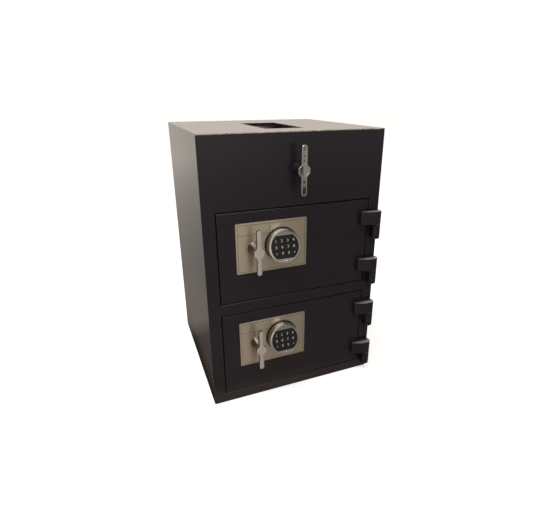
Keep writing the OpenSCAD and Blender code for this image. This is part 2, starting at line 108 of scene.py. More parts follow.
class Finish:  # one material, or the world, and its nodes

    def __init__(self, name, world=False):
        owner = (bpy.data.worlds if world else bpy.data.materials).new(name)
        owner.use_nodes = True
        self.owner, self.tree = owner, owner.node_tree
        self.tree.nodes.clear()
        self.out = self.tree.nodes.new("ShaderNodeOutputWorld" if world else "ShaderNodeOutputMaterial")

    def node(self, kind, settings=None, sockets=None, out=0):
        made = self.tree.nodes.new("ShaderNode" + kind)
        for key, value in (settings or {}).items():
            setattr(made, key, value)
        for key, value in (sockets or {}).items():
            if isinstance(value, Wire):
                self.tree.links.new(value.socket, made.inputs[key])
            else:
                made.inputs[key].default_value = value
        return Wire(self, made.outputs[out])

    def axes(self, vector):
        parts = self.node("SeparateXYZ", None, {0: vector}).socket.node
        return [Wire(self, socket) for socket in parts.outputs]

    def show(self, shader):
        self.tree.links.new(shader.socket, self.out.inputs["Surface"])
        return self.owner

    def place(self):  # where the shaded point is on its object, in metres
        return self.node("TexCoord", out=3)

    def noise(self, scale, detail, stretch=(1, 1, 1)):  # what cloud, fine, lint and the like stand for
        place = self.node("VectorMath", {"operation": "MULTIPLY"}, {0: self.place(), 1: stretch})
        return self.node("TexNoise", None, {"Vector": place, "Scale": scale, "Detail": detail})

    def spread(self, value, low, high, toLow=0.0, toHigh=1.0):  # stretches a range of values and clips it
        return self.node("MapRange", None, {"Value": value, "From Min": low, "From Max": high,
                                            "To Min": toLow, "To Max": toHigh})

    def vary(self, noise, toLow=0.0, toHigh=1.0):  # the same for the range that a noise mostly keeps to
        return self.spread(noise, 0.3, 0.7, toLow, toHigh)

    def blend(self, factor, a, b):  # between two colours
        return self.node("Mix", {"data_type": "RGBA"}, {0: factor, 6: a, 7: b}, 2)

    def bump(self, height, strength, distance):
        return self.node("Bump", None, {"Height": height, "Strength": strength, "Distance": distance})

    def surface(self, **sockets):  # words are the shader's own socket names, written together
        names = {"colour": "Base Color", "roughness": "Roughness", "metallic": "Metallic", "normal": "Normal",
                 "anisotropic": "Anisotropic", "grainTurn": "Anisotropic Rotation"}
        return self.show(self.node("BsdfPrincipled", None, {names[k]: v for k, v in sockets.items()}))


studio = {
    # what the safe mirrors of the room, and the share of it that is left above the horizon in front
    "back": (0.97, 0.87, 0.775, 1), "ceiling": (1.05, 1.0, 0.935, 1), "ceilingRight": (0.12, 0.11, 0.10, 1),
    "front": (1.32, 1.22, 1.11, 1), "frontLeft": (0.045, 0.041, 0.038, 1), "farRight": (0.36, 0.335, 0.31, 1),
    "frontRight": (0.09, 0.084, 0.079, 1), "frontAbove": 0.38,
    # where one gives way to the next, by how far a direction points right, up or ahead
    "toFrontRight": (0.21, 0.38), "toFarRight": (0.48, 0.7), "toFrontLeft": (-0.08, -0.42),
    "toAbove": (0.04, 0.24), "toCeilingRight": (0.20, 0.33), "toCeiling": (0.62, 0.85), "toBack": (0.3, 0.8),
    # the floor's brightness in the mirror: beside the safe, behind it, and near, middle and far in front
    "floor": (0.80, 0.78, 0.76, 1), "backdrop": 0.62, "floorUnder": (0.015, 0.14), "floorNear": 0.36,
    "floorFar": 0.93, "floorFront": (0.85, 0.17, 0.40), "floorSides": (1.35, 0.86),
    "floorClose": (1.0, 0.80, 0.69, 1), "floorTint": (1.0, 0.955, 0.895, 1),
    # where the floor's brightness changes, in metres
    "besideTo": (0.257, 0.285), "nearTo": (0.13, 0.25), "farTo": (0.9, 4.8), "backTo": (-0.3, -0.22),
    "closeTo": (-0.25, -0.30), "middleTo": (-3.2, -6.0), "sidesTo": (0.0, 0.45), "tintTo": (0.35, 0.7),
    "floorWide": 60, "floorLow": 0.5 * mm, "lampColour": (1, 0.97, 0.92),
    "lamps": {  # place, aim and size in metres, then watts
        "topLamp": ((-0.75, -0.85, 3.0), (0, 0, 0.4), (0.7, 0.7), 22),
        "leftLamp": ((-1.5, -0.5, 2.5), (0, 0, 0.4), (1.2, 0.5), 6),
        "frontLamp": ((0.3, -2.2, 2.6), (0, 0, 0.4), (1.6, 0.7), 14),
    },
}


def makeStudio(s):
    world = Finish("studioWorld", world=True)
    right, ahead, up = world.axes(world.node("TexCoord", out=0))
    colour = world.blend(world.spread(right, *s["toFrontRight"]), s["front"], s["frontRight"])
    colour = world.blend(world.spread(right, *s["toFarRight"]), colour, s["farRight"])
    colour = world.blend(world.spread(up, *s["toAbove"], 0.0, 1 - s["frontAbove"]), colour, (0, 0, 0, 1))
    colour = world.blend(world.spread(right, *s["toFrontLeft"]), colour, s["frontLeft"])
    above = world.blend(world.spread(right, *s["toCeilingRight"]), s["ceiling"], s["ceilingRight"])
    colour = world.blend(world.spread(up, *s["toCeiling"]), colour, above)
    colour = world.blend(world.spread(ahead, *s["toBack"]), colour, s["back"])
    camera = world.node("LightPath", out="Is Camera Ray")
    colour = world.blend(camera, colour, (1, 1, 1, 1))
    world.show(world.node("Background", None, {"Color": colour, "Strength": 1.0}))
    scene.world = world.owner

    floor = Finish("paleFloor")
    isCamera, isGlossy = (floor.node("LightPath", out=n) for n in ("Is Camera Ray", "Is Glossy Ray"))
    across, back, _ = floor.axes(floor.place())
    away = floor.node("VectorMath", {"operation": "LENGTH"}, {0: floor.place()}, "Value")
    low, high = s["floorUnder"]
    seen = floor.spread(abs(across), *s["besideTo"], low, high)  # darker close to the safe
    seen = seen + floor.spread(back, *s["nearTo"], 0.0, s["floorNear"] - high)
    seen = seen + floor.spread(away, *s["farTo"], 0.0, s["floorFar"] - s["floorNear"])
    isBack = floor.spread(back, *s["backTo"])
    close, middle, far = s["floorFront"]
    inFront = floor.spread(back, *s["closeTo"], close, middle)
    inFront = inFront + floor.spread(back, *s["middleTo"], 0, far - middle)
    inFront = inFront * floor.spread(across / away, *s["sidesTo"], *s["floorSides"])
    seen = seen * isBack + (1 - isBack) * inFront
    matt = floor.node("BsdfDiffuse", None, {"Color": s["floor"]})
    white = floor.node("Emission", None, {"Color": (1, 1, 1, 1), "Strength": isCamera * s["backdrop"]})
    backdrop = floor.node("AddShader", None, {0: matt, 1: white})
    farTint = floor.blend(isBack, s["floorTint"], s["back"])
    tint = floor.blend(floor.spread(away, *s["tintTo"]), s["floorClose"], farTint)
    mirrored = floor.node("Emission", None, {"Color": tint, "Strength": seen})
    floor.show(floor.node("MixShader", None, {0: isGlossy, 1: backdrop, 2: mirrored}))

    bpy.ops.mesh.primitive_plane_add(size=s["floorWide"], location=(0, 0, -s["floorLow"]))
    ground = bpy.context.object
    ground.name = "studioFloor"
    ground.data.materials.append(floor.owner)
    for name, (place, aim, size, watts) in s["lamps"].items():
        lamp = bpy.data.lights.new(name, "AREA")
        lamp.shape, (lamp.size, lamp.size_y), lamp.energy = "RECTANGLE", size, watts
        lamp.color = s["lampColour"]
        holder = bpy.data.objects.new(name, lamp)
        holder.location = place
        holder.rotation_euler = (Vector(aim) - Vector(place)).to_track_quat("-Z", "Y").to_euler()
        scene.collection.objects.link(holder)


makeStudio(studio)
scene.view_settings.view_transform = "Standard"
print("studio made")


paint = {
    "colour": (0.0174, 0.0127, 0.0186, 1), "wearAndPaintedReflection": (0.0205, 0.0156, 0.0204, 1), "wornFrom": (0.35, 0.7),
    "roughness": (0.205, 0.225), "cloud": (3.0, 4), "fine": (14.0, 5),
    "dust": (0.67, 0.61, 0.52, 1), "dustShare": 0.29, "dustUp": (0.55, 0.96), "dustRoughness": 0.1,
    "bareBelow": (0.755, 0.76), "paintedShadeBehind": (-0.249, -0.260),  # metres: no dust in the gaps round the doors, and the back of the hinge leaves' tops is left dark as painted shade
    "leafDust": 1.6, "lint": (60.0, 6), "lintFrom": (0.45, 0.75), "lintShare": 0.14,
    "speck": (0.80, 0.74, 0.68, 1), "specks": (330.0, 1), "speckFrom": (0.50, 0.60),
    "speckShare": (0.18, 0.62), "speckUp": (0.7590, 0.7602), "speckDeep": (-0.2385, -0.2395),
}


def blackPaint():
    f, p = Finish("blackPaint"), paint
    up = f.axes(f.node("NewGeometry", out="Normal"))[2]
    _, deep, high = f.axes(f.place())
    lint = 1 - p["lintShare"] + p["lintShare"] * f.spread(f.noise(*p["lint"]), *p["lintFrom"])
    # painted shade: only the front of the hinge leaves' tops takes the pale dust, and their back stays dark
    dustAndPaintedShadeMask = f.spread(high, *p["bareBelow"]) + p["leafDust"] * f.spread(deep, *p["paintedShadeBehind"])
    dust = f.spread(up, *p["dustUp"]) * lint * p["dustShare"] * dustAndPaintedShadeMask
    colour = f.blend(f.spread(f.noise(*p["cloud"]), *p["wornFrom"]), p["colour"], p["wearAndPaintedReflection"])
    colour = f.blend(dust, colour, p["dust"])
    specks = f.spread(f.noise(*p["specks"]), *p["speckFrom"], *p["speckShare"])
    specks = f.spread(high, *p["speckUp"]) * f.spread(deep, *p["speckDeep"]) * specks
    colour = f.blend(specks, colour, p["speck"])  # along the top front edge
    rough = f.vary(f.noise(*p["fine"]), *p["roughness"]) + dust * p["dustRoughness"]
    return f.surface(colour=colour, roughness=rough)


insidePaint = {
    "dark": (0.035, 0.034, 0.034, 1), "light": (0.055, 0.053, 0.051, 1), "roughness": (0.42, 0.55),
    "cloud": (5.0, 4), "fine": (300.0, 2), "bump": (0.15, 0.0004),
}


def innerPaint():
    f, p = Finish("innerPaint"), insidePaint
    fine = f.noise(*p["fine"])
    colour = f.blend(f.vary(f.noise(*p["cloud"])), p["dark"], p["light"])
    return f.surface(colour=colour, roughness=f.vary(fine, *p["roughness"]), normal=f.bump(fine, *p["bump"]))


plateMetal = {  # brushed from side to side
    "dark": (0.76, 0.655, 0.505, 1), "light": (0.86, 0.745, 0.59, 1), "roughness": (0.34, 0.40),
    "lines": (2600.0, 3, (0.008, 1, 1)), "bands": (260.0, 2, (0.02, 1, 1)), "bandShare": 0.2,
    "anisotropic": 0.8, "grainTurn": 0.25, "bump": (0.06, 0.0001),
}


def brushedPlate():
    f, p = Finish("brushedPlate"), plateMetal
    lines, bands = f.noise(*p["lines"]), f.noise(*p["bands"])
    tone = f.vary(lines * (1 - p["bandShare"]) + bands * p["bandShare"])
    return f.surface(colour=f.blend(tone, p["dark"], p["light"]), metallic=1.0,
                     roughness=f.vary(lines, *p["roughness"]), anisotropic=p["anisotropic"],
                     grainTurn=p["grainTurn"], normal=f.bump(lines, *p["bump"]))


metalWear = {"cloud": (17.7778, 3), "fine": (160.0, 4), "tone": 0.08, "roughness": 0.06, "dentDeep": 0.0003}


def metalFinish(name, colour, roughness, dent=0.04, metallic=1.0):
    f, w = Finish(name), metalWear
    fine = f.noise(*w["fine"])
    light = tuple(min(1, c * (1 + w["tone"])) for c in colour) + (1,)
    dark = tuple(c * (1 - w["tone"]) for c in colour) + (1,)
    rough = f.vary(fine, roughness - w["roughness"], roughness + w["roughness"])
    return f.surface(colour=f.blend(f.vary(f.noise(*w["cloud"])), dark, light), metallic=metallic,
                     roughness=rough, normal=f.bump(fine, dent, w["dentDeep"]))


# the side colour of each casting is painted shade, laid on a band in depth between the front face and the
# back
boltCasting = {
    "light": (0.74, 0.705, 0.62, 1), "dark": (0.67, 0.635, 0.56, 1), "side": (0.07, 0.055, 0.053, 1),
    "metallic": 0.5, "roughness": (0.36, 0.48), "cloud": (18.0, 3), "fine": (160.0, 4),
    "bump": (0.06, 0.0003), "paintedShadeFrom": (-0.2880, -0.2872), "backFrom": (-0.2825, -0.2812),
}
hopperCasting = {
    "light": (0.63, 0.61, 0.60, 1), "dark": (0.55, 0.53, 0.525, 1), "side": (0.05, 0.045, 0.045, 1),
    "metallic": 0.75, "roughness": (0.18, 0.26), "cloud": (18.0, 3), "fine": (160.0, 4),
    "bump": (0.06, 0.0003), "paintedShadeFrom": (-0.2810, -0.2800), "backFrom": (-0.2755, -0.2742),
}


def castHandle(name, cast):  # a bright face, with the sides darkened by painted shade
    f = Finish(name)
    fine = f.noise(*cast["fine"])
    face = f.blend(f.vary(f.noise(*cast["cloud"])), cast["dark"], cast["light"])
    _, depth, _ = f.axes(f.place())
    # painted shade: the sides between these depths take the dark side colour
    side = f.spread(depth, *cast["paintedShadeFrom"]) * f.spread(depth, *cast["backFrom"], 1, 0)
    return f.surface(colour=f.blend(side, face, cast["side"]), metallic=cast["metallic"],
                     roughness=f.vary(fine, *cast["roughness"]), normal=f.bump(fine, *cast["bump"]))


recess = {
    "olive": (0.48, 0.445, 0.375, 1), "dark": (0.065, 0.06, 0.062, 1), "metallic": 0.6, "roughness": 0.30,
    "hub": 0.6695, "dots": (0.0525, 0.0365, 0.0245, -0.0275),  # metres, the dark dots of painted reflection above the hub
    "dotHigh": (0.0045, 0.0015), "dotWide": (0.0040, 0.0018), "dotShare": 0.65, "hubLeft": (-0.001, -0.004),
    "hubHigh": (0.014, 0.009), "foot": (-0.037, -0.045), "lower": (-0.010, -0.018), "lowerShare": 0.3,
    "mottle": (210.0, 3), "mottleFrom": (0.4, 0.62), "mottleShare": 0.45,
    "fine": (160.0, 3), "bump": (0.06, 0.0003),
}


def paintedReflectionRecess():  # the hopper handle's recess: olive plating with painted reflections and painted shade
    f, r = Finish("recessMetal"), recess
    across, _, high = f.axes(f.place())
    high = high - r["hub"]
    dots = f.spread(abs(high - r["dots"][0]), *r["dotHigh"])
    for dot in r["dots"][1:]:
        dots = dots + f.spread(abs(high - dot), *r["dotHigh"])
    dots = dots * f.spread(abs(across), *r["dotWide"])
    hub = f.spread(across, *r["hubLeft"]) * f.spread(abs(high), *r["hubHigh"])
    mottle = f.spread(f.noise(*r["mottle"]), *r["mottleFrom"], 1 - r["mottleShare"], 1)
    ends = f.spread(high, *r["foot"]) + f.spread(high, *r["lower"], 0.0, r["lowerShare"])
    # painted reflections (the dots and the hub's left half) and painted shade (the lower end) darken the
    # olive plating
    wearAndPaintedReflection = dots * r["dotShare"] + hub * mottle + ends
    return f.surface(colour=f.blend(wearAndPaintedReflection, r["olive"], r["dark"]), metallic=r["metallic"],
                     roughness=r["roughness"], normal=f.bump(f.noise(*r["fine"]), *r["bump"]))


housingMetal = {  # a bright ring, with the wall greyed as painted shade
    "face": (0.74, 0.70, 0.655, 1), "wall": (0.50, 0.49, 0.475, 1), "wallFrom": (-0.267, -0.2635),
    "roughness": (0.27, 0.33), "fine": (60.0, 4), "bump": (0.01, 0.0003),
}


def satinChrome():
    f, p = Finish("satinChrome"), housingMetal
    _, depth, _ = f.axes(f.place())
    fine = f.noise(*p["fine"])
    # painted shade: the wall behind the face takes the greyer colour
    colour = f.blend(f.spread(depth, *p["wallFrom"]), p["face"], p["wall"])
    return f.surface(colour=colour, metallic=1.0, roughness=f.vary(fine, *p["roughness"]),
                     normal=f.bump(fine, *p["bump"]))


rubberWear = {"cloud": (40.0, 3), "fine": (700.0, 3), "tone": 1.5, "roughness": 0.06, "bump": (0.12, 0.0003)}


def rubberFinish(name, colour, roughness):
    f, w = Finish(name), rubberWear
    fine = f.noise(*w["fine"])
    pale = tuple(c * w["tone"] for c in colour) + (1,)
    rough = f.vary(fine, roughness - w["roughness"], roughness + w["roughness"])
    return f.surface(colour=f.blend(f.vary(f.noise(*w["cloud"])), colour + (1,), pale), roughness=rough,
                     normal=f.bump(fine, *w["bump"]))


finishes = {
    "black_paint": blackPaint(), "inner_paint": innerPaint(), "brushed_plate": brushedPlate(),
    "satin_chrome": satinChrome(),
    "chrome": metalFinish("chrome", (0.74, 0.73, 0.71), 0.13, dent=0.06),
    "cast_handle": castHandle("castHandle", boltCasting),
    "bright_steel": metalFinish("brightSteel", (0.60, 0.59, 0.57), 0.28),
    "die_cast": metalFinish("dieCast", (0.36, 0.36, 0.36), 0.48, dent=0.12),
    "bronze": metalFinish("bronze", (0.55, 0.36, 0.17), 0.34),
    "keypad_rubber": rubberFinish("keypadRubber", (0.0085, 0.0068, 0.0085), 0.45),
    "key_rubber": rubberFinish("keyRubber", (0.011, 0.009, 0.011), 0.43),
}
stemMetal = metalFinish("stemMetal", (0.28, 0.265, 0.25), 0.30, dent=0.02)
rimMetal = castHandle("rimMetal", hopperCasting)
hopperStemMetal = metalFinish("hopperStemMetal", (0.022, 0.019, 0.024), 0.33, metallic=0.3)
# painted light: the drum and hopper box are pale so that the shadowed slot inside renders lighter
chutePaint = rubberFinish("chutePaint", (0.30, 0.26, 0.295), 0.5)
badgeMetal = metalFinish("badgeMetal", (0.86, 0.85, 0.84), 0.25, metallic=0.35)
recessMetal = paintedReflectionRecess()
etchInk = metalFinish("etchInk", (0.13, 0.11, 0.085), 0.45)
digitInk = rubberFinish("digitInk", (0.37, 0.35, 0.34), 0.55)
print("finishes made")


easing = {"flatWithin": 0.4, "sharpFrom": 28, "smoothBelow": 40}  # degrees between two faces


def addPiece(name, mesh, body, slot, material=None, replaced=()):
    mesh.validate()
    mesh.shade_smooth()
    mesh.set_sharp_from_angle(angle=math.radians(easing["smoothBelow"]))
    mesh.materials.clear()
    mesh.materials.append(material or finishes[slot])
    piece = bpy.data.objects.new(name, mesh)
    scene.collection.objects.link(piece)
    even = piece.modifiers.new("evenShading", "WEIGHTED_NORMAL")  # flat faces keep flat reflections
    even.weight, even.keep_sharp = 100, True
    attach(piece, body)
    if replaced:
        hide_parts(*replaced)
    return piece


def meshFrom(name, points, faces):  # points in mm
    mesh = bpy.data.meshes.new(name)
    mesh.from_pydata([Vector(p) * mm for p in points], [], faces)
    return mesh


def turnOut(bm):
    bmesh.ops.remove_doubles(bm, verts=bm.verts, dist=0.005 * mm)
    bmesh.ops.recalc_face_normals(bm, faces=bm.faces)


def tidy(mesh):
    bm = bmesh.new()
    bm.from_mesh(mesh)
    turnOut(bm)
    bm.to_mesh(mesh)
    bm.free()
    return mesh


def fillet(corners, radii, steps):  # rounds each corner of a closed outline of (x, z) points
    outline = []
    for i, (corner, radius) in enumerate(zip(corners, radii)):
        here = Vector(corner)
        back, on = Vector(corners[i - 1]) - here, Vector(corners[(i + 1) % len(corners)]) - here
        a, b = back.normalized(), on.normalized()
        half = a.angle(b) / 2
        if radius <= 0 or half > math.radians(88):  # sharp, or so blunt that it is left alone
            outline.append(tuple(here))
            continue
        reach = min(radius / math.tan(half), back.length * 0.499, on.length * 0.499)
        radius = reach * math.tan(half)
        middle = here + (a + b).normalized() * (radius / math.sin(half))
        first = here + a * reach - middle
        turn = first.angle_signed(here + b * reach - middle)
        for k in range(steps + 1):
            spin = Matrix.Rotation(-turn * k / steps, 2)
            outline.append(tuple(middle + spin @ first))
    return outline


def loftRings(rings, capFirst=True, capLast=True):  # rings of equal length, each a list of points
    points = [p for ring in rings for p in ring]
    n = len(rings[0])
    faces = [(k * n + i, k * n + (i + 1) % n, (k + 1) * n + (i + 1) % n, (k + 1) * n + i)
             for k in range(len(rings) - 1) for i in range(n)]
    if capFirst:
        faces.append(tuple(range(n)))
    if capLast:
        faces.append(tuple(range(len(points) - 1, len(points) - n - 1, -1)))
    return points, faces


def lathe(profile, x, z, segments=72):  # profile of (radius, y), turned about an axis along Y
    rings = [[(x + r * math.cos(math.tau * i / segments), y, z + r * math.sin(math.tau * i / segments))
              for i in range(segments)] for r, y in profile]
    return loftRings(rings)


def rounded(left, bottom, right, top, corner, steps):  # a rectangle's outline with round corners
    return fillet([(left, bottom), (right, bottom), (right, top), (left, top)], [corner] * 4, steps)


def joined(name, *parts):  # several point and face lists in one mesh
    points, faces = [], []
    for p, f in parts:
        faces += [tuple(i + len(points) for i in face) for face in f]
        points += p
    return tidy(meshFrom(name, points, faces))


def softened(node, slot, width, special=(), steps=2, material=None):  # a CAD node's shape with eased edges
    source = frame["nodes"][node]
    bm = bmesh.new()
    bm.from_mesh(source.data)
    turnOut(bm)
    flat, sharpFrom = math.radians(easing["flatWithin"]), math.radians(easing["sharpFrom"])
    bmesh.ops.dissolve_limit(bm, angle_limit=flat, verts=bm.verts, edges=bm.edges)
    share = bm.edges.layers.float.new("bevel_weight_edge")
    widest = max([width] + [w for w, _ in special])
    for edge in bm.edges:
        if len(edge.link_faces) == 2 and edge.calc_face_angle(0) > sharpFrom:
            middle = (edge.verts[0].co + edge.verts[1].co) / 2 / mm
            edge[share] = next((w for w, chosen in special if chosen(middle)), width) / widest
    sharp = bpy.data.meshes.new(node + "_sharp")
    bm.to_mesh(sharp)
    bm.free()
    holder = bpy.data.objects.new(node + "_sharp", sharp)
    scene.collection.objects.link(holder)
    eased = holder.modifiers.new("eased", "BEVEL")
    eased.limit_method, eased.width, eased.segments = "WEIGHT", widest * mm, steps
    eased.use_clamp_overlap = eased.loop_slide = False
    mesh = bpy.data.meshes.new_from_object(holder.evaluated_get(bpy.context.evaluated_depsgraph_get()))
    mesh.name = node + "_body"
    bpy.data.objects.remove(holder)
    body = source["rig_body"] if "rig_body" in source else source.parent.name
    return addPiece(node + "_body", mesh, body, slot, material, replaced=(node,))


doorBottom = {"lower": 33.5, "upper": 321.5}
casework = {
    # widths of the eased edges in mm
    "edge": 1.2, "frontEdge": 2.8, "railTop": 2.4, "slotEdge": 0.3, "doorEdge": 0.9,
    "doorTop": {"lower": 1.0, "upper": 2.8}, "hingeEdge": 1.1, "leafTip": 0.2,
    # where they are
    "halfWide": 254, "high": 762, "corner": 3.2, "stile": 30, "face": -241.5, "seam": -235.5,
    "doorHigh": 250, "doorGap": 2.5, "tipX": 218,
    "slot": (55, -152, 80, 756),  # half width, front, back and underside
}


def near(a, b, within=0.5):
    return abs(a - b) < within


def atSlot(m):
    half, front, back, under = casework["slot"]
    return abs(m.x) < half + 1 and front - 1 < m.y < back + 1 and m.z > under


def atSeam(m):  # the welded seam between front plate and casing stays flush
    return near(m.y, casework["seam"], 0.3)


def atFrontOutline(m):
    wide, high, corner = casework["halfWide"], casework["high"], casework["corner"]
    return near(m.y, casework["face"]) and (abs(m.x) > wide - corner or not corner < m.z < high - corner)


def atRailTop(m):
    between = abs(m.x) < casework["halfWide"] - casework["stile"]
    return near(m.y, casework["face"]) and between and any(
        near(m.z, bottom - casework["doorGap"]) for bottom in doorBottom.values())


def atDoorTop(m):
    return near(m.y, casework["face"]) and any(
        near(m.z, bottom + casework["doorHigh"]) for bottom in doorBottom.values())


def atLeafTip(m):
    return near(m.x, casework["tipX"])


frontEdges = ((0, atSeam), (casework["slotEdge"], atSlot), (casework["frontEdge"], atFrontOutline),
              (casework["railTop"], atRailTop))
leafEdges = ((casework["leafTip"], atLeafTip),)
for node in ("casing", "front_plate"):
    softened(node, "black_paint", casework["edge"], frontEdges, 3)
for side in sides:
    doorEdges = ((casework["doorTop"][side], atDoorTop),)
    softened(side + "_door_plate", "black_paint", casework["doorEdge"], doorEdges, 3)
    softened(side + "_hinge_leaves", "black_paint", casework["hingeEdge"], leafEdges, 3)
softened("hinge_posts", "black_paint", casework["hingeEdge"], steps=3)
print("casing, doors and hinges made")


boltHandle = {  # wave: depth and length of the ripple in its face
    "x": -123, "rise": 150, "front": -288.5, "thick": 8, "length": 123, "middleHalf": 5.5, "endHalf": 7,
    "hubHalf": 15, "hubCorner": 7.0, "throat": 12.0, "edge": 2.0, "backEdge": 1.2, "wave": (0, 1),
    "crown": ((0.35, 0.25), (0.75, 0.05), (1.0, 0.0)), "crownHigh": 0.5,  # share inward, mm behind the front
    "stem": ((18, -243.9), (18, -245.2), (17.4, -246.0), (11.9, -263.0), (11.5, -265.0), (11.5, -282)),
}
hopperHandle = {
    "x": 0, "z": 669.5, "front": -281.5, "thick": 8, "length": 126, "middleHalf": 7.7, "endHalf": 7.7,
    "hubHalf": 15.8, "hubCorner": 4.0, "throat": 9.0, "edge": 1.2, "backEdge": 1.2, "wave": (0.3, 18.6),
    "rim": 2.8, "groove": 1.4,
    "dish": ((0.2, 0.15), (0.5, 0.3), (0.8, 0.38), (1.0, 0.4)),  # share inward, mm behind the groove
    "stem": ((18, -241.9), (18, -243.2), (17.4, -244.0), (11.9, -261.0), (11.5, -263.0), (11.5, -275)),
}


bar = {"gap": 4, "spineFrom": 4, "spineOver": 16}  # mm between points, and where its middle line begins


def barOutline(h):  # one quarter of the corners, then mirrored round
    hub, slant = h["hubHalf"], h["hubHalf"] * math.tan(math.radians(22.5))
    reach = h["length"] / 2 - h["endHalf"]
    grow = (h["endHalf"] - h["middleHalf"]) / reach
    joint = (hub + slant - h["middleHalf"]) / (1 + grow)  # height where the bar leaves the hub's slant
    width = h["middleHalf"] + grow * joint
    right = [((hub, -slant), h["hubCorner"]), ((hub, slant), h["hubCorner"]), ((width, joint), h["throat"]),
             ((h["endHalf"], reach), 0)]
    right += [((h["endHalf"] * math.cos(a), reach + h["endHalf"] * math.sin(a)), 0)
              for a in (math.pi * k / 16 for k in range(1, 16))]
    right += [((-h["endHalf"], reach), 0), ((-width, joint), h["throat"])]
    corners = [c for c, _ in right] + [(-c[0], -c[1]) for c, _ in right]
    outline = fillet(corners, [r for _, r in right] * 2, 7)
    dense = []
    for i, a in enumerate(outline):  # long sides get more points, so that rings stay even
        b = outline[(i + 1) % len(outline)]
        cuts = max(1, round(math.dist(a, b) / bar["gap"]))
        dense += [(a[0] + (b[0] - a[0]) * k / cuts, a[1] + (b[1] - a[1]) * k / cuts) for k in range(cuts)]
    return dense


def barRings(h, x, z, profile):  # profile rows: mm inward, share of the way to the spine, y behind the front
    reach = h["length"] / 2 - h["endHalf"]
    rings = []
    outline = barOutline(h)
    for inward, share, depth in profile:
        ring = []
        for px, pz in outline:
            ease = min(1, max(0, (abs(pz) - bar["spineFrom"]) / bar["spineOver"]))
            ease = ease * ease * (3 - 2 * ease)
            spine = Vector((0, max(-reach, min(reach, pz * ease))))
            to = spine - Vector((px, pz))
            step = min(to.length, inward + share * max(0.0, to.length - inward))
            at = Vector((px, pz)) + to.normalized() * step if to.length > 1e-6 else spine
            sunk = share * (abs(pz) > h["hubHalf"]) * h["wave"][0] * math.sin(math.tau * pz / h["wave"][1])
            ring.append((x + at.x, h["front"] + depth + sunk, z + at.y))
        rings.append(ring)
    return rings


def roundEdge(radius, thick, backRadius, steps=5):  # outer half of a bar's profile, from back to front
    back = [(backRadius * (1 - math.cos(a)), 0, thick - backRadius * (1 - math.sin(a)))
            for a in (math.pi / 2 * (1 - k / steps) for k in range(steps + 1))]
    front = [(radius * (1 - math.cos(a)), 0, radius * (1 - math.sin(a)))
             for a in (math.pi / 2 * k / steps for k in range(steps + 1))]
    return back + front


for side in sides:
    h = boltHandle
    z = doorBottom[side] + h["rise"]
    edge = roundEdge(h["edge"], h["thick"] - h["crownHigh"], h["backEdge"])
    profile = [(inward, share, depth + h["crownHigh"]) for inward, share, depth in edge]
    profile += [(h["edge"], share, depth) for share, depth in h["crown"]]
    for name, parts, metal in (
            ("_bolt_handle", loftRings(barRings(h, h["x"], z, profile), capLast=False), None),
            ("_bolt_stem", lathe(h["stem"], h["x"], z), stemMetal)):
        addPiece(side + name, joined(side + name, parts), side + "_handle", "cast_handle", metal,
                 replaced=(side + "_handle",))

h = hopperHandle
rim, deep = h["rim"], h["groove"]
bend = [math.pi / 12 * k for k in range(7)]
channel = [(rim + deep * math.sin(a), 0, deep * (1 - math.cos(a))) for a in bend]
channel += [(rim + deep, share, deep + fall) for share, fall in h["dish"]]
profile = roundEdge(h["edge"], h["thick"], h["backEdge"]) + channel[:1]
for name, parts, metal in (
        ("hopper_bar_handle", loftRings(barRings(h, h["x"], h["z"], profile), capLast=False), rimMetal),
        ("hopper_bar_recess", loftRings(barRings(h, h["x"], h["z"], channel), False, False), recessMetal),
        ("hopper_stem", lathe(h["stem"], h["x"], h["z"]), hopperStemMetal)):
    addPiece(name, joined(name, parts), "hopper", "chrome", metal, replaced=("hopper_handle",))
print("handles made")


lockPlate = {
    "left": -172, "right": 27, "bottom": 80.5, "top": 219.5, "front": -243.5, "back": -241.5, "corner": 4.0,
    "edge": 0.9, "lineIn": 5.0, "lineWide": 0.8, "lineUp": 0.05, "lineCorner": 1.5,
    "boxWide": 88, "boxHigh": 28, "boxUp": 0.06, "boxCorner": 0.5,
}
keypad = {
    "x": -47, "rise": {"lower": 157.5, "upper": 153}, "faceY": -272.5, "seat": -246.5, "radius": 44.5,
    "rim": ((0, 1.5), (0.06, 1.27), (0.22, 1.07), (0.45, 0.92), (0.75, 0.81), (1.5, 0.63), (2.3, 0.45),
            (3.1, 0.29), (3.8, 0.17), (4.2, 0.11)),  # mm inward, mm behind the face
    "lip": ((0.5, 0.1), (0.8, 0.125), (1.0, 0.25)),  # mm further inward, mm behind the face
    "wall": ((0.25, 0.05), (0.45, -0.05), (4.0, 0.0)),  # mm behind the face, mm wider than the pocket
    "padRadius": 39.0, "padFlat": 31.0, "slope": 22 / 89,
    "backEdge": 0.6, "padEdge": 0.4, "keyEdge": 0.6, "keyX": 16.5, "keyZ": 16.4,
}
marks = {  # what is printed on the keys, in mm
    "digitHigh": 7.2, "capShare": 0.7, "digitThick": 0.02, "digitBold": 0.22, "sunk": 0.09,
    "clear": (1.0, 2.1), "enter": (1.5, 1.5), "dotCorner": 0.7, "dotThick": 0.03,
}
badge = {  # an oval plate with a raised middle, the plate dark as a painted shadow round the middle: half width and height, rows of mm inward and outward
    "below": 36.4,
    "_badge": ((6.0, 2.6), ((0, -1.4), (0, -0.2), (0.3, -0.05))),
    "_badge_top": ((4.4, 1.5), ((0, -0.2), (0, 0.0), (0.3, 0.15), (0.9, 0.3))),
}
keyNames = ("1", "2", "3", "4", "5", "6", "7", "8", "clear", "9", "0", "enter")
tilt = math.atan(keypad["slope"])


